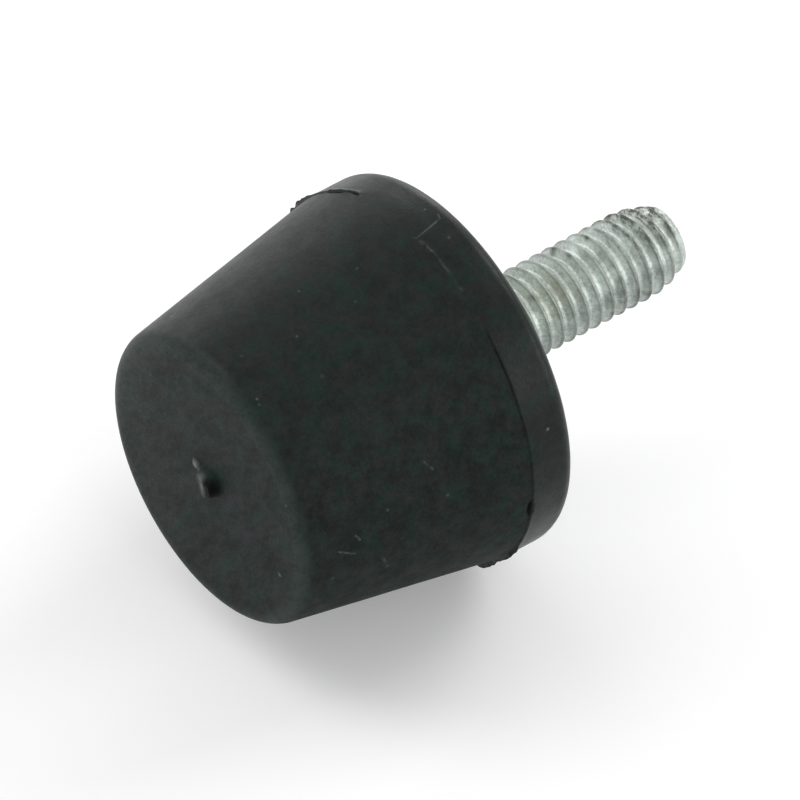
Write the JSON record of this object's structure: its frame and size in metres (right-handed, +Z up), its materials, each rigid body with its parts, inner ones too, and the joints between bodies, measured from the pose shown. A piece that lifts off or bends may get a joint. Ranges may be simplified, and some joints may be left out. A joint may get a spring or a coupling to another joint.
{
  "type": "rubber buffer",
  "caption": "Conical rubber buffer moulded on a steel disc, with a threaded stud that screws into a frame.",
  "frame": {"origin": "centre of the mounting face, where the stud leaves the back of the buffer", "axes": "+Y along the stud, away from the rubber; the rubber head faces -Y and takes the knocks; +Z up"},
  "size_m": [0.0259, 0.0369, 0.0259],
  "materials": {
    "rubber": "moulded, matt, with a faint bloom",
    "zinc_stud": "zinc plated, dull, with dirt in the thread",
    "zinc_disc": "zinc plated, flat"
  },
  "bodies": {
    "root": {"rubber_body": "rubber", "base_disc": "zinc_disc", "threaded_stud": "zinc_stud"}
  },
  "joints": []
}
